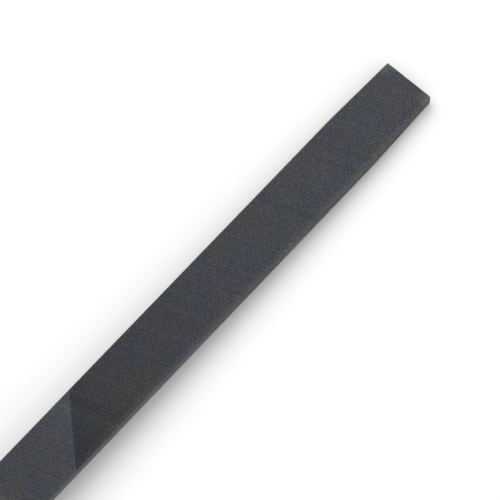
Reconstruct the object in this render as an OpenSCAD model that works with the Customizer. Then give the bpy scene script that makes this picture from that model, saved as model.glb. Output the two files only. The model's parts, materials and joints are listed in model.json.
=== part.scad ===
// Wood rasp: a flat hardened steel blade with rows of teeth on both faces and smooth narrow edges.
// Its tang is pressed into a turned hardwood handle, and a steel ferrule keeps the wood from splitting.
// The origin is the centre of the square end face at the tip. +X points forward out of the tip, so the
// tool lies back along -X. +Y is its left edge and +Z is square to its upper face. Millimetres.

/* [Blade] */
// Length of the blade, from its shoulders to its tip
blade_l = 250; // [200:5:300]
// Width of the blade along its parallel length
blade_w = 25; // [22:0.5:32]
// Thickness of the blade
blade_t = 6; // [5:0.25:8]
// How far each narrow edge draws in at the tip
tip_draw = 1; // [0.25:0.25:2]
// Length over which the narrow edges draw in
tip_taper_l = 35; // [20:5:60]

/* [Teeth] */
// Distance between neighbouring rows of teeth, square to the rows
row_pitch = 1.48; // [1.2:0.04:3]
// Depth of the groove in front of each row
row_depth = 0.45; // [0.2:0.05:0.6]
// Angle between the rows and the blade's long axis
row_angle = 70.1; // [60:0.1:80]
// Share of the pitch that the steep cutting side of a row takes
steep_share = 0.28; // [0.15:0.01:0.45]
// Plain length between the shoulders and the first row, along the middle of the blade
heel_l = 11; // [8:1:20]

/* [Tang] */
// Length of the tang behind the shoulders
tang_l = 66; // [55:1:80]
// Width of the tang where it leaves the shoulders
tang_root_w = 11; // [9:0.5:12]
// Width of the tang at its point
tang_end_w = 4; // [3:0.5:6]
// Thickness of the tang at its point
tang_end_t = 2.4; // [2:0.2:3]
// Length of the sloping shoulders
shoulder_l = 4.5; // [3:0.5:5]
// Distance between the shoulders and the ferrule, where the tang is bare
tang_bare_l = 8; // [6:1:12]

/* [Ferrule] */
// Outside diameter of the ferrule
ferrule_d = 22; // [20:0.5:24]
// Length of the ferrule
ferrule_l = 17; // [14:1:22]
// Wall thickness of the ferrule
ferrule_wall = 1; // [0.8:0.1:1.4]
// Diameter of the opening that the tang passes through
ferrule_hole_d = 14.5; // [14:0.5:16]
// Distance from the ferrule's front to the middle of the groove rolled around it
groove_at = 11; // [8:0.5:12]
// Length of the groove
groove_l = 2.4; // [1.6:0.1:3]
// Depth of the groove
groove_depth = 0.35; // [0.2:0.05:0.5]

/* [Handle] */
// Length of the wooden handle
handle_l = 124; // [110:2:140]
// Greatest diameter of the handle
belly_d = 28; // [26:1:34]
// Diameter of the handle where its rounded butt begins
butt_d = 24; // [22:1:28]
// Distance from the front of the wood to its greatest diameter
belly_at = 58; // [45:1:70]
// Length of the rounded butt
butt_l = 11; // [8:1:16]

/* [Hidden] */
$fn = 96;

// Gap on each side of a press fit, so that neighbours touch without overlapping
fit_gap = 0.02;
// How far cutting shapes run past the steel they cut
overrun = 5;
// Radius of the ferrule's rolled front edge
lip_round = 0.8;
// Straight pieces in each curved stretch of a turned outline
curve_steps = 16;
arc_steps = 10;

// Place of the ferrule's front face and of the front of the wood, behind the tip, with the seat the
// wood is turned down to inside the ferrule and the radius that rolls the groove
ferrule_at = blade_l + tang_bare_l;
handle_at = ferrule_at + ferrule_wall;
seat_r = ferrule_d / 2 - ferrule_wall - fit_gap;
seat_l = ferrule_l - ferrule_wall;
groove_r = (groove_depth ^ 2 + (groove_l / 2) ^ 2) / (2 * groove_depth);
butt_at = handle_l - butt_l;

// The rows are drawn along a line square to them, which leans away from the blade's long axis
row_lean = 90 - row_angle;
first_row = -(blade_l - heel_l) * cos(row_lean);
row_run = -first_row + blade_w;
row_count = ceil(row_run / row_pitch);
row_reach = blade_l + blade_w;

// Smooth step from a to b as t goes from 0 to 1, level at both ends
function ease(a, b, t) = a + (b - a) * (1 - cos(180 * t)) / 2;

// A point at distance x and half width y, and its mirror image across the long axis
function both_sides(points) = concat(
    points,
    [for (i = [len(points) - 1 : -1 : 0]) [points[i][0], -points[i][1]]]
);

// Outline of the steel seen from above, with the tang wider by grow on each side
function plan_points(grow = 0) = both_sides([
    [0, blade_w / 2 - tip_draw],
    [-tip_taper_l, blade_w / 2],
    [-blade_l, blade_w / 2],
    [-blade_l - shoulder_l, tang_root_w / 2 + grow],
    [-blade_l - tang_l - grow, tang_end_w / 2 + grow]
]);

// Outline of the tang seen from the side, thicker by grow on each side
function tang_side_points(grow = 0) = both_sides([
    [-blade_l - shoulder_l / 2, blade_t / 2 + grow],
    [-blade_l - tang_l - grow, tang_end_t / 2 + grow]
]);

// Each row falls steeply towards the tip and rises gently from the groove behind it
function row_points() = [
    for (i = [0 : row_count - 1])
        for (point = [
            [first_row + (i + steep_share) * row_pitch, blade_t / 2 - row_depth],
            [first_row + (i + 1) * row_pitch, blade_t / 2]
        ])
            point
];

// Places a turned outline so that its axis runs back along -X, starting at a distance behind the tip
module turned(at) {
    translate([-at, 0, 0])
        rotate([0, -90, 0])
            rotate_extrude()
                children();
}

// A thick slab with rows of teeth on its upper side
module toothed_slab() {
    rotate([90, 0, row_lean])
        linear_extrude(height = 2 * row_reach, center = true)
            polygon(concat(
                [[-row_reach - tang_l, -2 * blade_t]],
                [[-row_reach - tang_l, blade_t / 2]],
                [[first_row, blade_t / 2]],
                row_points(),
                [[first_row + row_count * row_pitch, -2 * blade_t]]
            ));
}

// Steel ground away above the tang, so that it thins towards its point
module tang_relief() {
    rotate([90, 0, 0])
        linear_extrude(height = 2 * tang_root_w, center = true)
            polygon([
                [-blade_l - shoulder_l / 2, blade_t / 2],
                [-blade_l - tang_l, tang_end_t / 2],
                [-blade_l - tang_l - overrun, tang_end_t / 2],
                [-blade_l - tang_l - overrun, blade_t],
                [-blade_l - shoulder_l / 2, blade_t]
            ]);
}

// The tapering pocket that the tang has pressed into the wood
module tang_socket() {
    intersection() {
        linear_extrude(height = 2 * blade_t, center = true)
            polygon(plan_points(fit_gap));
        rotate([90, 0, 0])
            linear_extrude(height = blade_w, center = true)
                polygon(tang_side_points(fit_gap));
    }
}

module rasp_blade() {
    color([0.27, 0.28, 0.3])
        difference() {
            intersection() {
                linear_extrude(height = 2 * blade_t, center = true)
                    polygon(plan_points());
                toothed_slab();
                rotate([180, 0, 0])
                    toothed_slab();
            }
            tang_relief();
            rotate([180, 0, 0])
                tang_relief();
        }
}

module ferrule() {
    outer = ferrule_d / 2;
    inner = outer - ferrule_wall;
    lip = [
        for (i = [0 : arc_steps])
            [
                outer - lip_round + lip_round * sin(90 * i / arc_steps),
                lip_round - lip_round * cos(90 * i / arc_steps)
            ]
    ];
    color([0.72, 0.72, 0.7])
        difference() {
            turned(ferrule_at)
                polygon(concat(
                    [[ferrule_hole_d / 2, 0]],
                    lip,
                    [[outer, ferrule_l]],
                    [[inner, ferrule_l]],
                    [[inner, ferrule_wall]],
                    [[ferrule_hole_d / 2, ferrule_wall]]
                ));
            turned(ferrule_at)
                translate([outer - groove_depth + groove_r, groove_at])
                    circle(r = groove_r);
        }
}

module handle() {
    neck = [
        for (i = [0 : curve_steps])
            [
                ease(ferrule_d / 2, belly_d / 2, i / curve_steps),
                seat_l + fit_gap + (belly_at - seat_l - fit_gap) * i / curve_steps
            ]
    ];
    back = [
        for (i = [1 : curve_steps])
            [
                ease(belly_d / 2, butt_d / 2, i / curve_steps),
                belly_at + (butt_at - belly_at) * i / curve_steps
            ]
    ];
    butt = [
        for (i = [1 : arc_steps])
            [
                butt_d / 2 * cos(90 * i / arc_steps),
                butt_at + butt_l * sin(90 * i / arc_steps)
            ]
    ];
    color([0.8, 0.6, 0.38])
        difference() {
            turned(handle_at)
                polygon(concat(
                    [[0, fit_gap]],
                    [[seat_r, fit_gap]],
                    [[seat_r, seat_l + fit_gap]],
                    neck,
                    back,
                    butt
                ));
            tang_socket();
        }
}

rasp_blade();
ferrule();
handle();
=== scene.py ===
"""The looks of the wood rasp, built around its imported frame. Lengths are in metres.

The tip's end face is at the origin and the tool lies back along -X, with its left edge towards +Y
and its upper face towards +Z. Both faces are cut alike: half a turn about X gives one from the other.
"""
import json
import math
import random

import bmesh
import bpy
from mathutils import Matrix, Vector

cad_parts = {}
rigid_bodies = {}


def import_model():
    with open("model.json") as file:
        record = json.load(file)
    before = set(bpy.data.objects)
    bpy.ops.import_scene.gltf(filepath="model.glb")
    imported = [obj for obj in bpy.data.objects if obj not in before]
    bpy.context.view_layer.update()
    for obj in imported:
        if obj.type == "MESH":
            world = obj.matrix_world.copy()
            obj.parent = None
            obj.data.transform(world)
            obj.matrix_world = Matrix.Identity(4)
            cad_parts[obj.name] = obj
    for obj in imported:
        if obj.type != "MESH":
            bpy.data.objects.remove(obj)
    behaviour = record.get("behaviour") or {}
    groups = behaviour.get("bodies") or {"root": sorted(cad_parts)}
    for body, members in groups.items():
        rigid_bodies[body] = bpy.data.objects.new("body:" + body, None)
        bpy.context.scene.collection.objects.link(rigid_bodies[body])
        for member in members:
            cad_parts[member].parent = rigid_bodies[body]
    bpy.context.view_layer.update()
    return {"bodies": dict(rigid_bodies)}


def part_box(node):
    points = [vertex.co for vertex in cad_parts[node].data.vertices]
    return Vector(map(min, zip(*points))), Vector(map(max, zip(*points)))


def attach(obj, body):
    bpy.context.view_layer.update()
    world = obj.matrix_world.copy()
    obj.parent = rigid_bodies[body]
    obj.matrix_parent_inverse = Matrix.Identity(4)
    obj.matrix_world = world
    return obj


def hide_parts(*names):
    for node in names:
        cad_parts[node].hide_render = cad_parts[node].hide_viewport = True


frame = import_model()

MM = 0.001
SEED = 11
blade_lo, blade_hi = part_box("rasp_blade")
ferrule_lo, ferrule_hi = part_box("ferrule")
handle_lo, handle_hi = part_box("handle")

# ---------------------------------------------------------------- sizes

# The steel
HALF_W = blade_hi.y
HALF_T = blade_hi.z
TIP_X = blade_hi.x
TANG_END_X = blade_lo.x
HEEL_X = ferrule_hi.x + 8 * MM
TIP_DRAW = 1 * MM
TIP_TAPER = 35 * MM
SHOULDER = 4.5 * MM
TANG_ROOT_HALF_W = 5.5 * MM
TANG_END_HALF_W = 2 * MM
TANG_END_HALF_T = 1.2 * MM
EDGE_BREAK = 0.3 * MM
CORNER_BREAK = 0.15 * MM
HEEL_BREAK = 1.2 * MM
HEEL_BREAK_SLOPE = 0.7
TANG_BREAK = 0.9 * MM
# How far the tang's faces lie below the blade's where the two are joined
TANG_SINK = 0.03 * MM

# The two sets of cuts. An angle is between the cut and the blade's long axis
ROW_ANGLE = math.radians(70.1)
ROW_PITCH = 1.48 * MM
ROW_DEPTH = 0.45 * MM
ROW_STEEP = 0.28
ROWS_START = HEEL_X + 11 * MM
CROSS_ANGLE = math.radians(47.1)
CROSS_PITCH = 1.625 * MM
CROSS_DEPTH = 0.22 * MM
CROSS_STEEP = 0.4
CROSS_START = HEEL_X + 48 * MM
CROSS_LAND = 0.05 * MM
# How uneven the cuts are: the spread of a line's place as a share of the pitch, and the drop of a
# crest and the spread of a groove's depth as shares of the depth
PLACE_SPREAD = 0.025
CREST_DROP = 0.03
DEPTH_SPREAD = 0.08
# How far the slab that carries the cuts reaches past the blade
SLAB_MARGIN = 1 * MM

# The turned pieces
FERRULE_R = ferrule_hi.z
FERRULE_WALL = 1 * MM
FERRULE_HOLE_R = 7.25 * MM
FERRULE_L = ferrule_hi.x - ferrule_lo.x
BELLY_R = handle_hi.z
BELLY_AT = 58 * MM
BUTT_R = 12 * MM
BUTT_L = 11 * MM
HANDLE_L = handle_hi.x - handle_lo.x
FIT_GAP = 0.02 * MM
LIP_ROUND = 0.8 * MM
GROOVE_AT = 11 * MM
GROOVE_HALF_L = 1.2 * MM
GROOVE_DEPTH = 0.35 * MM
HOLE_BREAK = 0.25 * MM
BACK_BREAK = 0.2 * MM
SEAT_BREAK = 0.3 * MM
FERRULE_SIDES = 128
HANDLE_SIDES = 160
SHARP_DEGREES = 35

# More than the whole tool's length, for shapes that are cut down to it
UNCUT_SIZE = 1

# The stage
PALE = (1.0, 1.0, 1.0)
FLOOR_HALF_SIZE = 4


# ---------------------------------------------------------------- mesh helpers


def mesh_object(name, mesh):
    piece = bpy.data.objects.new(name, mesh)
    bpy.context.scene.collection.objects.link(piece)
    return piece


def object_from_bmesh(name, bm):
    bmesh.ops.recalc_face_normals(bm, faces=bm.faces)
    mesh = bpy.data.meshes.new(name)
    bm.to_mesh(mesh)
    bm.free()
    return mesh_object(name, mesh)


def combine(piece, other, operation):
    """Joins other to piece, cuts it away or keeps what they share. The other object is then removed."""
    modifier = piece.modifiers.new("combine", "BOOLEAN")
    modifier.operation = operation
    modifier.solver = "MANIFOLD"
    modifier.object = other
    evaluated = piece.evaluated_get(bpy.context.evaluated_depsgraph_get())
    mesh = bpy.data.meshes.new_from_object(evaluated)
    piece.modifiers.clear()
    piece.data = mesh
    bpy.data.objects.remove(other)


def convex_solid(name, planes):
    """A large cube cut off in front of every plane, given by a point and its outward direction."""
    bm = bmesh.new()
    bmesh.ops.create_cube(bm, size=UNCUT_SIZE)
    for point, outward in planes:
        geometry = bm.verts[:] + bm.edges[:] + bm.faces[:]
        direction = Vector(outward).normalized()
        bmesh.ops.bisect_plane(
            bm, geom=geometry, plane_co=Vector(point), plane_no=direction, clear_outer=True
        )
        rim = [edge for edge in bm.edges if edge.is_boundary]
        bmesh.ops.holes_fill(bm, edges=rim)
    return object_from_bmesh(name, bm)


def lathe(name, outline, front_x, segments):
    """Turns a closed outline of (radius, distance back from front_x) about the tool's long axis."""
    bm = bmesh.new()
    rings = []
    for radius, back in outline:
        count = segments if radius > 0 else 1
        ring = []
        for k in range(count):
            angle = 2 * math.pi * k / segments
            ring.append(
                bm.verts.new((front_x - back, radius * math.cos(angle), radius * math.sin(angle)))
            )
        rings.append(ring)
    for i, ring in enumerate(rings):
        after = rings[(i + 1) % len(rings)]
        if len(ring) == 1 and len(after) == 1:
            continue
        for k in range(segments):
            corners = []
            for vert in (
                ring[k % len(ring)],
                ring[(k + 1) % len(ring)],
                after[(k + 1) % len(after)],
                after[k % len(after)],
            ):
                if vert not in corners:
                    corners.append(vert)
            bm.faces.new(corners)
    return object_from_bmesh(name, bm)


def shade_smooth(piece, sharp_degrees):
    mesh = piece.data
    mesh.polygons.foreach_set("use_smooth", [True] * len(mesh.polygons))
    mesh.set_sharp_from_angle(angle=math.radians(sharp_degrees))


# ---------------------------------------------------------------- the steel


def cut_lines(start, pitch, steep, depth, land, end, chance):
    """Places across a set of cuts and the height at each. It is level, and land high, before start."""
    lines = [(start - UNCUT_SIZE, land), (start, land)]
    here = start
    while here < end:
        groove_at = here + (steep + chance.gauss(0, PLACE_SPREAD)) * pitch
        lines.append((groove_at, -depth * chance.gauss(1, DEPTH_SPREAD)))
        here += pitch
        crest_at = here + chance.gauss(0, PLACE_SPREAD) * pitch
        lines.append((crest_at, land - abs(chance.gauss(0, CREST_DROP)) * depth))
    return lines


def overlaps(a, b):
    """Whether the spans of two lists of distances overlap."""
    return min(a) < max(b) and min(b) < max(a)


def across_rows(x, y):
    """Distance square to the rows of teeth."""
    return x * math.sin(ROW_ANGLE) + y * math.cos(ROW_ANGLE)


def across_crosses(x, y):
    """Distance square to the crossing cuts."""
    return x * math.sin(CROSS_ANGLE) - y * math.cos(CROSS_ANGLE)


def meeting_place(row, cross):
    """The x and y at the given distances across the rows and across the crossing cuts."""
    spread = math.sin(ROW_ANGLE + CROSS_ANGLE)
    x = (row * math.cos(CROSS_ANGLE) + cross * math.cos(ROW_ANGLE)) / spread
    y = (row * math.sin(CROSS_ANGLE) - cross * math.sin(ROW_ANGLE)) / spread
    return x, y


class CutSurface:
    """A face cut by rows and by crossing cuts. At each place the deeper of the two sets its height.

    A corner (i, j) is where line i of the rows meets line j of the crossing cuts.
    """

    def __init__(self, rows, crosses):
        self.rows = rows
        self.crosses = crosses
        self.verts = []
        self.index = {}

    def place(self, corner):
        i, j = corner
        return meeting_place(self.rows[i][0], self.crosses[j][0])

    def rows_are_deeper(self, corner):
        i, j = corner
        return self.rows[i][1] < self.crosses[j][1]

    def vertex(self, key, row, cross, height):
        if key not in self.index:
            self.index[key] = len(self.verts)
            self.verts.append((*meeting_place(row, cross), HALF_T + height))
        return self.index[key]

    def corner_vertex(self, corner):
        row, row_height = self.rows[corner[0]]
        cross, cross_height = self.crosses[corner[1]]
        return self.vertex(corner, row, cross, min(row_height, cross_height))

    def crease_vertex(self, a, b):
        """The point between corners a and b where the two sets of cuts are equally deep."""
        (i, j), (k, m) = key = (min(a, b), max(a, b))
        (row_a, row_height_a), (row_b, row_height_b) = self.rows[i], self.rows[k]
        (cross_a, cross_height_a), (cross_b, cross_height_b) = self.crosses[j], self.crosses[m]
        gap_a = row_height_a - cross_height_a
        gap_b = row_height_b - cross_height_b
        share = gap_a / (gap_a - gap_b)
        row = row_a + (row_b - row_a) * share
        cross = cross_a + (cross_b - cross_a) * share
        height = row_height_a + (row_height_b - row_height_a) * share
        return self.vertex(key, row, cross, height)

    def cell_faces(self, ring):
        """The part of a cell where the rows are deeper, and the part where the crossing cuts are."""
        lower, upper = [], []
        for a, b in zip(ring, ring[1:] + ring[:1]):
            part = lower if self.rows_are_deeper(a) else upper
            part.append(self.corner_vertex(a))
            if self.rows_are_deeper(a) != self.rows_are_deeper(b):
                crease = self.crease_vertex(a, b)
                lower.append(crease)
                upper.append(crease)
        return [part for part in (lower, upper) if len(part) > 2]


def closed_below(verts, faces, floor_z):
    """The surface closed into a solid by a flat copy of it at floor_z and by walls around its rim."""
    count = len(verts)
    floor_verts = [(x, y, floor_z) for x, y, z in verts]
    floor_faces = [[index + count for index in reversed(face)] for face in faces]
    edges = dict.fromkeys((a, b) for face in faces for a, b in zip(face, face[1:] + face[:1]))
    walls = [[b, a, a + count, b + count] for a, b in edges if (b, a) not in edges]
    return verts + floor_verts, faces + floor_faces + walls


def toothed_slab(name):
    """A thick slab whose upper side has rows of teeth, crossed by a second, shallower set of cuts."""
    chance = random.Random(SEED)
    xs = (HEEL_X - SHOULDER - SLAB_MARGIN, TIP_X + SLAB_MARGIN)
    ys = (-HALF_W - SLAB_MARGIN, HALF_W + SLAB_MARGIN)
    slab_rows = [across_rows(x, y) for x in xs for y in ys]
    slab_crosses = [across_crosses(x, y) for x in xs for y in ys]
    row_start = ROWS_START * math.sin(ROW_ANGLE)
    rows = cut_lines(row_start, ROW_PITCH, ROW_STEEP, ROW_DEPTH, 0, max(slab_rows), chance)
    cross_start = CROSS_START * math.sin(CROSS_ANGLE)
    cross_end = max(slab_crosses)
    crosses = cut_lines(
        cross_start, CROSS_PITCH, CROSS_STEEP, CROSS_DEPTH, CROSS_LAND, cross_end, chance
    )

    surface = CutSurface(rows, crosses)
    faces = []
    for i in range(len(rows) - 1):
        for j in range(len(crosses) - 1):
            ring = [(i, j), (i, j + 1), (i + 1, j + 1), (i + 1, j)]
            places = [surface.place(corner) for corner in ring]
            if (
                overlaps((rows[i][0], rows[i + 1][0]), slab_rows)
                and overlaps((crosses[j][0], crosses[j + 1][0]), slab_crosses)
                and overlaps([x for x, y in places], xs)
                and overlaps([y for x, y in places], ys)
            ):
                faces += surface.cell_faces(ring)

    verts, faces = closed_below(surface.verts, faces, -4 * HALF_T)
    mesh = bpy.data.meshes.new(name)
    mesh.from_pydata(verts, [], faces)
    bm = bmesh.new()
    bm.from_mesh(mesh)
    return object_from_bmesh(name, bm)


def blade_planes():
    """The blade's outline with every long edge slightly broken. The toothed slabs set its thickness."""
    taper_normal = (TIP_DRAW, TIP_TAPER, 0)
    shoulder_normal = (TANG_ROOT_HALF_W - HALF_W, SHOULDER, 0)
    fall = (HALF_T - TANG_END_HALF_T) / (HEEL_X - TANG_END_X)
    planes = [((HEEL_X - SHOULDER, 0, 0), (-1, 0, 0)), ((TIP_X, 0, 0), (1, 0, 0))]
    for top in (1, -1):
        planes.append(((TIP_X, 0, top * (HALF_T - EDGE_BREAK)), (1, 0, top)))
        planes.append(((HEEL_X - SHOULDER / 2, 0, top * HALF_T), (-fall, 0, top)))
    for side in (1, -1):
        for x, normal in (
            (TIP_X - TIP_TAPER, (0, 1, 0)),
            (TIP_X - TIP_TAPER, taper_normal),
            (HEEL_X, shoulder_normal),
        ):
            outward = Vector((normal[0], side * normal[1], 0)).normalized()
            planes.append(((x, side * HALF_W, 0), outward))
            for top in (1, -1):
                broken = (x, side * HALF_W, top * (HALF_T - EDGE_BREAK))
                planes.append((broken, outward + Vector((0, 0, top))))
        tip_corner = (TIP_X, side * (HALF_W - TIP_DRAW - CORNER_BREAK), 0)
        planes.append((tip_corner, (1, side, 0)))
        planes.append(((HEEL_X, side * (HALF_W - HEEL_BREAK / 2), 0), (-HEEL_BREAK_SLOPE, side, 0)))
    return planes


def tang_planes(grow):
    """The tapering tang, larger by grow on each side."""
    root_x = HEEL_X - SHOULDER
    inside_x = HEEL_X - SHOULDER / 2
    run = root_x - TANG_END_X
    wide = Vector((-(TANG_ROOT_HALF_W - TANG_END_HALF_W), run, 0)).normalized()
    thick = Vector((-(HALF_T - TANG_END_HALF_T), 0, inside_x - TANG_END_X)).normalized()
    planes = [((inside_x, 0, 0), (1, 0, 0)), ((TANG_END_X - grow, 0, 0), (-1, 0, 0))]
    for side in (1, -1):
        across = Vector((wide.x, side * wide.y, 0))
        planes.append(((root_x, side * (TANG_ROOT_HALF_W + grow), 0), across))
        for top in (1, -1):
            up = Vector((thick.x, 0, top * thick.z))
            edge = (root_x, side * (TANG_ROOT_HALF_W + grow), top * (HALF_T - TANG_BREAK))
            planes.append((edge, across + up))
            if side == 1:
                planes.append(((inside_x, 0, top * (HALF_T - TANG_SINK + grow)), up))
    return planes


def make_blade():
    blade = convex_solid("blade", blade_planes())
    upper = toothed_slab("upper_teeth")
    lower = mesh_object("lower_teeth", upper.data.copy())
    lower.data.transform(Matrix.Rotation(math.pi, 4, "X"))
    combine(blade, upper, "INTERSECT")
    combine(blade, lower, "INTERSECT")
    combine(blade, convex_solid("tang", tang_planes(0)), "UNION")
    return blade


# ---------------------------------------------------------------- the turned pieces


def ease(a, b, t):
    """Smooth step from a to b as t goes from 0 to 1, level at both ends."""
    return a + (b - a) * (1 - math.cos(math.pi * t)) / 2


def ferrule_outline():
    """The wall with its rolled front edge and the groove rolled around it."""
    steps = 10
    groove_r = (GROOVE_DEPTH**2 + GROOVE_HALF_L**2) / (2 * GROOVE_DEPTH)
    outline = [(FERRULE_HOLE_R, HOLE_BREAK), (FERRULE_HOLE_R + HOLE_BREAK, 0)]
    for i in range(steps + 1):
        angle = math.pi / 2 * i / steps
        radius = FERRULE_R - LIP_ROUND + LIP_ROUND * math.sin(angle)
        outline.append((radius, LIP_ROUND - LIP_ROUND * math.cos(angle)))
    for i in range(2 * steps + 1):
        back = GROOVE_HALF_L * (i / steps - 1)
        dip = math.sqrt(groove_r**2 - back**2) - (groove_r - GROOVE_DEPTH)
        outline.append((FERRULE_R - dip, GROOVE_AT + back))
    return outline + [
        (FERRULE_R, FERRULE_L - BACK_BREAK),
        (FERRULE_R - BACK_BREAK, FERRULE_L),
        (FERRULE_R - FERRULE_WALL, FERRULE_L),
        (FERRULE_R - FERRULE_WALL, FERRULE_WALL),
        (FERRULE_HOLE_R, FERRULE_WALL),
    ]


def make_ferrule():
    piece = lathe("steel_ferrule", ferrule_outline(), ferrule_hi.x, FERRULE_SIDES)
    shade_smooth(piece, SHARP_DEGREES)
    return piece


def handle_outline():
    """The seat inside the ferrule, the swelling neck, the back of the belly and the rounded butt."""
    steps = 40
    seat_r = FERRULE_R - FERRULE_WALL - FIT_GAP
    seat_l = FERRULE_L - FERRULE_WALL
    neck_at = seat_l + SEAT_BREAK
    butt_at = HANDLE_L - BUTT_L
    outline = [(0, 0), (seat_r, 0), (seat_r, seat_l), (FERRULE_R - SEAT_BREAK, seat_l)]
    for i in range(steps + 1):
        t = i / steps
        outline.append((ease(FERRULE_R, BELLY_R, t), neck_at + (BELLY_AT - neck_at) * t))
    for i in range(1, steps + 1):
        t = i / steps
        outline.append((ease(BELLY_R, BUTT_R, t), BELLY_AT + (butt_at - BELLY_AT) * t))
    for i in range(1, steps + 1):
        angle = math.pi / 2 * i / steps
        radius = BUTT_R * math.cos(angle) if i < steps else 0
        outline.append((radius, butt_at + BUTT_L * math.sin(angle)))
    return outline


def make_handle():
    piece = lathe("wooden_handle", handle_outline(), handle_hi.x, HANDLE_SIDES)
    combine(piece, convex_solid("socket", tang_planes(FIT_GAP)), "DIFFERENCE")
    shade_smooth(piece, SHARP_DEGREES)
    return piece


# ---------------------------------------------------------------- material helpers


class Material:
    """A material whose nodes are added one call at a time. Each call returns the new node's output."""

    def __init__(self, name):
        self.material = bpy.data.materials.new(name)
        self.material.use_nodes = True
        self.nodes = self.material.node_tree.nodes
        self.links = self.material.node_tree.links
        self.shader = self.nodes["Principled BSDF"]
        self.place = self.nodes.new("ShaderNodeTexCoord").outputs["Object"]

    def feed(self, socket, value):
        if isinstance(value, bpy.types.NodeSocket):
            self.links.new(value, socket)
        else:
            socket.default_value = value

    def math(self, operation, *values):
        node = self.nodes.new("ShaderNodeMath")
        node.operation = operation
        for socket, value in zip(node.inputs, values):
            self.feed(socket, value)
        return node.outputs[0]

    def hypotenuse(self, a, b):
        squares = self.math("ADD", self.math("POWER", a, 2), self.math("POWER", b, 2))
        return self.math("SQRT", squares)

    def axis(self, vector, name):
        node = self.nodes.new("ShaderNodeSeparateXYZ")
        self.feed(node.inputs[0], vector)
        return node.outputs[name]

    def stretch(self, scale):
        """The place, scaled along each axis."""
        node = self.nodes.new("ShaderNodeMapping")
        self.feed(node.inputs["Vector"], self.place)
        node.inputs["Scale"].default_value = scale
        return node.outputs[0]

    def noise(self, scale, detail=3, roughness=0.5):
        """Noise with features about 1 / scale long along each axis."""
        node = self.nodes.new("ShaderNodeTexNoise")
        self.feed(node.inputs["Vector"], self.stretch(scale))
        node.inputs["Scale"].default_value = 1
        node.inputs["Detail"].default_value = detail
        node.inputs["Roughness"].default_value = roughness
        return node.outputs["Fac"]

    def ramp(self, value, *stops):
        """Colours, or levels of grey, at places from 0 to 1."""
        node = self.nodes.new("ShaderNodeValToRGB")
        self.feed(node.inputs[0], value)
        elements = node.color_ramp.elements
        while len(elements) < len(stops):
            elements.new(0.5)
        for element, (place, colour) in zip(elements, stops):
            element.position = place
            grey = isinstance(colour, (int, float))
            element.color = (colour, colour, colour, 1) if grey else (*colour, 1)
        return node.outputs[0]

    def mix(self, share, a, b, blend="MIX"):
        node = self.nodes.new("ShaderNodeMix")
        node.data_type = "RGBA"
        node.blend_type = blend
        self.feed(node.inputs[0], share)
        for socket, value in ((node.inputs[6], a), (node.inputs[7], b)):
            self.feed(socket, (*value, 1) if isinstance(value, tuple) else value)
        return node.outputs[2]

    def bump(self, height, depth):
        node = self.nodes.new("ShaderNodeBump")
        node.inputs["Distance"].default_value = depth
        self.feed(node.inputs["Height"], height)
        self.feed(self.shader.inputs["Normal"], node.outputs[0])

    def finish(self, **inputs):
        for name, value in inputs.items():
            socket = self.shader.inputs[name.replace("_", " ")]
            self.feed(socket, (*value, 1) if isinstance(value, tuple) else value)
        return self.material


# ---------------------------------------------------------------- materials


def stained_tone(steel, cloud):
    """Dark blue-grey with faint olive, blue and purple stains, and grit."""
    tone = steel.mix(cloud, (0.0374, 0.04, 0.0466), (0.054, 0.057, 0.0652))
    oxide = steel.ramp(
        steel.noise((90, 160, 160), 3), (0.38, (1.08, 1.03, 0.89)), (0.59, (0.95, 0.98, 1.08))
    )
    tone = steel.mix(0.9, tone, oxide, "MULTIPLY")
    temper = steel.ramp(
        steel.noise((140, 200, 200), 2), (0.38, (1.07, 0.96, 1.05)), (0.6, (0.95, 1.03, 0.96))
    )
    tone = steel.mix(0.8, tone, temper, "MULTIPLY")
    grit = steel.ramp(steel.noise((1100, 1100, 1100), 1), (0.3, 0.74), (0.7, 1.26))
    return steel.mix(1.0, tone, grit, "MULTIPLY")


def whole_row_mask(steel, along, sideways):
    """1 between the heel and the start of the crossing cuts, where the rows are whole, and 0 beyond."""
    cross_place = steel.math(
        "SUBTRACT",
        steel.math("MULTIPLY", along, math.sin(CROSS_ANGLE)),
        steel.math("MULTIPLY", sideways, math.cos(CROSS_ANGLE)),
    )
    return steel.math("LESS_THAN", cross_place, CROSS_START * math.sin(CROSS_ANGLE))


def worn_and_highlit_crests(steel, tone, depth_share, whole_rows):
    """Lighter specks on the crests, half as strong where the rows are whole: partly wear and partly a
    painted highlight.
    """
    crest = steel.ramp(depth_share, (0.05, 1.0), (0.55, 0.0))
    speck = steel.ramp(steel.noise((800, 800, 800), 2), (0.46, 0.0), (0.6, 1.0))
    strength = steel.math("MULTIPLY_ADD", whole_rows, -0.5, 1.0)
    # Partly wear, partly a painted highlight where the crests catch the light
    wear_and_highlight = steel.math("MULTIPLY", steel.math("MULTIPLY", crest, speck), strength)
    return steel.mix(wear_and_highlight, tone, (0.08, 0.084, 0.091))


def gain_by_place(steel, along, sideways, from_heel):
    """How light a face is: lighter towards the tip and along its margins, with a painted highlight at
    the tip's corners.
    """
    from_right = steel.math("MULTIPLY_ADD", sideways, 1 / (2 * HALF_W), 0.5)
    margin = steel.ramp(from_right, (0.0, 0.45), (0.11, 0.0), (0.95, 0.0), (1.0, 0.15))
    # Darker towards the heel, lighter towards the tip
    tipward_ramp = steel.ramp(from_heel, (0.1, 0.4), (0.3, 0.75), (0.6, 0.93), (1.0, 1.03))
    # Painted highlight on the tip's corners
    to_edge = steel.math("SUBTRACT", HALF_W, steel.math("ABSOLUTE", sideways))
    to_tip = steel.math("SUBTRACT", TIP_X, along)
    to_corner = steel.math("DIVIDE", steel.hypotenuse(to_edge, to_tip), 8 * MM)
    corner = steel.ramp(to_corner, (0.1, 0.95), (0.85, 0.0))
    return steel.math("MULTIPLY_ADD", tipward_ramp, steel.math("ADD", margin, 1.0), corner)


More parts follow.
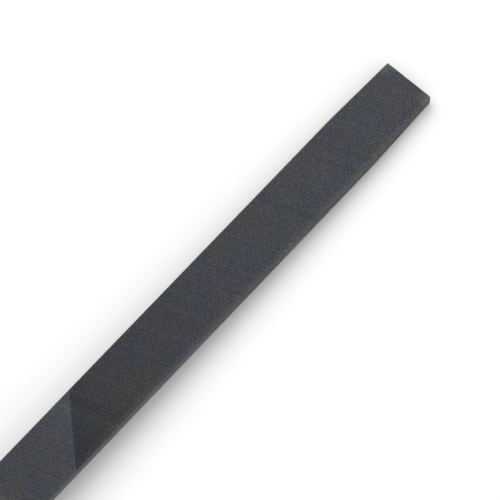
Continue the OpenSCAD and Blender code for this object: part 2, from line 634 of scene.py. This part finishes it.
def painted_light_by_cut(steel, gain, facing, depth_share, whole_rows):
    """The gain with painted light: a painted reflection raising the whole rows, and painted light on
    the sides that face the tip and deep in the grooves, lifting their shade.
    """
    # Painted reflection on the whole rows, stronger deep down where it lifts the grooves' shade
    whole_row_painted_light = steel.ramp(depth_share, (0.0, 0.51), (1.0, 0.74))
    gain = steel.math("MULTIPLY_ADD", whole_rows, whole_row_painted_light, gain)
    # Painted light on the sides that face the tip
    steep = steel.ramp(steel.axis(facing, "X"), (0.3, 0.0), (0.5, 1.0))
    steep_painted_light_share = steel.math("MULTIPLY_ADD", whole_rows, -0.08, 0.75)
    gain = steel.math("MULTIPLY", gain, steel.math("MULTIPLY_ADD", steep, steep_painted_light_share, 1.0))
    # Painted light deep in the grooves, lifting their shade
    groove_painted_light = steel.ramp(depth_share, (0.3, 1.0), (1.0, 1.28))
    return steel.math("MULTIPLY", gain, groove_painted_light)


def ground_tone(steel, streak, from_heel):
    """Grey with lengthwise streaks, with a painted brown reflection and painted shade over the front
    half.
    """
    ground = steel.mix(streak, (0.056, 0.058, 0.062), (0.1, 0.104, 0.11))
    # Painted reflection of a brown surface and painted shade, darkening the front half
    painted_reflection_and_shade = steel.ramp(
        from_heel,
        (0.44, (1.0, 1.0, 1.0)),
        (0.54, (0.79, 0.73, 0.66)),
        (1.0, (0.7, 0.64, 0.56)),
    )
    return steel.mix(1.0, ground, painted_reflection_and_shade, "MULTIPLY")


def hardened_steel():
    """Dark stained steel on the two faces and the tang, and smooth ground steel on upright sides, with
    painted highlights, painted reflections and painted shade in the colour.
    """
    steel = Material("hardened_steel")
    height = steel.axis(steel.place, "Z")
    along = steel.axis(steel.place, "X")
    sideways = steel.math("MULTIPLY", steel.axis(steel.place, "Y"), steel.math("SIGN", height))
    depth = steel.math("SUBTRACT", HALF_T, steel.math("ABSOLUTE", height))
    depth_share = steel.math("DIVIDE", depth, ROW_DEPTH)
    from_heel = steel.math("DIVIDE", steel.math("SUBTRACT", along, HEEL_X), TIP_X - HEEL_X)
    facing = steel.nodes.new("ShaderNodeNewGeometry").outputs["True Normal"]
    whole_rows = whole_row_mask(steel, along, sideways)
    cloud = steel.noise((30, 90, 90), 4)
    streak = steel.noise((60, 2500, 2500), 3)

    tone = worn_and_highlit_crests(steel, stained_tone(steel, cloud), depth_share, whole_rows)
    # The gain paints light into the colour: painted highlights, a painted reflection and painted light
    # lifting shade
    gain = gain_by_place(steel, along, sideways, from_heel)
    gain = painted_light_by_cut(steel, gain, facing, depth_share, whole_rows)
    tone = steel.mix(1.0, tone, gain, "MULTIPLY")

    level = steel.math("ABSOLUTE", steel.axis(facing, "Z"))
    edge = steel.ramp(level, (0.1, 1.0), (0.2, 0.0))
    colour = steel.mix(edge, tone, ground_tone(steel, streak, from_heel))
    roughness = steel.ramp(cloud, (0.3, 0.46), (0.7, 0.6))
    steel.bump(steel.mix(edge, steel.noise((2000, 2000, 2000), 2), streak), 0.012 * MM)
    return steel.finish(Base_Color=colour, Metallic=0.7, Roughness=roughness)


def plated_steel():
    """Satin steel with the fine rings that turning leaves, and faint stains."""
    steel = Material("plated_steel")
    rings = steel.noise((6000, 5, 5), 3)
    stain = steel.noise((120, 120, 120), 4)
    colour = steel.mix(stain, (0.36, 0.36, 0.35), (0.62, 0.62, 0.6))
    roughness = steel.ramp(stain, (0.3, 0.42), (0.7, 0.26))
    steel.bump(rings, 0.02 * MM)
    return steel.finish(Base_Color=colour, Metallic=1.0, Roughness=roughness)


def handle_wood():
    """Clear-lacquered hardwood: growth rings about a line beside the handle, pores and short flecks."""
    wood = Material("handle_wood")
    heart_y, heart_z, lean, ring = -31 * MM, 17 * MM, 0.07, 2.6 * MM
    x, y, z = (wood.axis(wood.place, name) for name in "XYZ")
    from_heart_y = wood.math("SUBTRACT", wood.math("MULTIPLY_ADD", x, lean, y), heart_y)
    from_heart_z = wood.math("SUBTRACT", z, heart_z)
    wander = wood.math("MULTIPLY", wood.noise((9, 45, 45), 3), 3.2 * MM)
    radius = wood.math("ADD", wood.hypotenuse(from_heart_y, from_heart_z), wander)
    growth = wood.math("FRACT", wood.math("DIVIDE", radius, ring))
    ring_colour = wood.ramp(
        growth,
        (0.0, (0.6, 0.39, 0.19)),
        (0.6, (0.55, 0.34, 0.155)),
        (0.88, (0.42, 0.235, 0.095)),
        (1.0, (0.59, 0.38, 0.185)),
    )
    fibre = wood.noise((70, 2600, 2600), 4, 0.6)
    colour = wood.mix(wood.ramp(fibre, (0.35, 0.45), (0.62, 0.0)), ring_colour, (0.36, 0.2, 0.085))
    fleck = wood.ramp(wood.noise((420, 3200, 3200), 1), (0.66, 0.0), (0.72, 1.0))
    colour = wood.mix(wood.math("MULTIPLY", fleck, 0.6), colour, (0.22, 0.11, 0.045))
    tint = wood.noise((14, 60, 60), 2)
    colour = wood.mix(wood.math("MULTIPLY", tint, 0.25), colour, (0.5, 0.27, 0.11))
    wood.bump(wood.math("SUBTRACT", fibre, wood.math("MULTIPLY", fleck, 0.5)), 0.04 * MM)
    roughness = wood.ramp(fibre, (0.3, 0.46), (0.7, 0.34))
    return wood.finish(
        Base_Color=colour, Roughness=roughness, Coat_Weight=0.35, Coat_Roughness=0.16
    )


def floor_paper():
    paper = Material("floor_paper")
    grain = paper.noise((900, 900, 900), 3)
    colour = paper.mix(grain, (0.86, 0.86, 0.855), (0.89, 0.89, 0.885))
    return paper.finish(Base_Color=colour, Roughness=0.85)


# ---------------------------------------------------------------- the object


def add_piece(piece, material, node):
    piece.data.materials.clear()
    piece.data.materials.append(material)
    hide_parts(node)
    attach(piece, list(frame["bodies"])[0])


add_piece(make_blade(), hardened_steel(), "rasp_blade")
add_piece(make_ferrule(), plated_steel(), "ferrule")
add_piece(make_handle(), handle_wood(), "handle")

# ---------------------------------------------------------------- the stage


def add_floor():
    """The tool rests on the tip's lower edge and on the handle's belly, so the floor leans a little."""
    belly = Vector((handle_hi.x - BELLY_AT, 0, -BELLY_R))
    tip = Vector((TIP_X, 0, -HALF_T))
    rise = math.atan2(tip.z - belly.z, tip.x - belly.x)
    bm = bmesh.new()
    bmesh.ops.create_grid(bm, x_segments=1, y_segments=1, size=FLOOR_HALF_SIZE)
    floor = object_from_bmesh("floor", bm)
    floor.data.transform(Matrix.Rotation(-rise, 4, "Y"))
    floor.location = belly
    floor.data.materials.append(floor_paper())


def add_sun(name, direction, strength, spread_degrees):
    """A very wide, distant lamp in a direction from the tool, so the whole floor is lit evenly."""
    light = bpy.data.lights.new(name, "SUN")
    light.energy = strength
    light.angle = math.radians(spread_degrees)
    lamp = bpy.data.objects.new(name, light)
    lamp.rotation_mode = "QUATERNION"
    lamp.rotation_quaternion = Vector(direction).to_track_quat("Z", "Y")
    bpy.context.scene.collection.objects.link(lamp)


def add_studio():
    """Soft light from everywhere, a stronger side, and a background as pale as the floor."""
    add_sun("key", (0.1, 0.6, 1.0), 1.4, 60)
    add_sun("fill", (-0.4, -0.9, 0.7), 0.5, 60)
    world = bpy.data.worlds.new("studio")
    world.use_nodes = True
    nodes, links = world.node_tree.nodes, world.node_tree.links
    seen = nodes.new("ShaderNodeBackground")
    seen.inputs["Color"].default_value = (*PALE, 1)
    around = nodes["Background"]
    around.inputs["Color"].default_value = (1, 1, 1, 1)
    around.inputs["Strength"].default_value = 0.72
    choice = nodes.new("ShaderNodeMixShader")
    links.new(nodes.new("ShaderNodeLightPath").outputs["Is Camera Ray"], choice.inputs[0])
    links.new(around.outputs[0], choice.inputs[1])
    links.new(seen.outputs[0], choice.inputs[2])
    links.new(choice.outputs[0], nodes["World Output"].inputs["Surface"])
    bpy.context.scene.world = world
    bpy.context.scene.view_settings.view_transform = "Standard"


def add_camera():
    """Looks down the blade's upper face from beyond its right edge and heel, through a long lens."""
    azimuth, elevation, distance = math.radians(-48.37), math.radians(67.77), 1.4283
    target = Vector((TIP_X - 99.1 * MM, -1.36 * MM, HALF_T))
    back = Vector(
        (
            math.sin(azimuth) * math.cos(elevation),
            -math.cos(azimuth) * math.cos(elevation),
            math.sin(elevation),
        )
    )
    camera = bpy.data.cameras.new("camera")
    camera.sensor_width = 36
    camera.lens = 257.5
    camera.clip_end = 50
    holder = bpy.data.objects.new("camera", camera)
    holder.location = target + back * distance
    holder.rotation_mode = "QUATERNION"
    holder.rotation_quaternion = back.to_track_quat("Z", "Y")
    bpy.context.scene.collection.objects.link(holder)
    bpy.context.scene.camera = holder


add_floor()
add_studio()
add_camera()
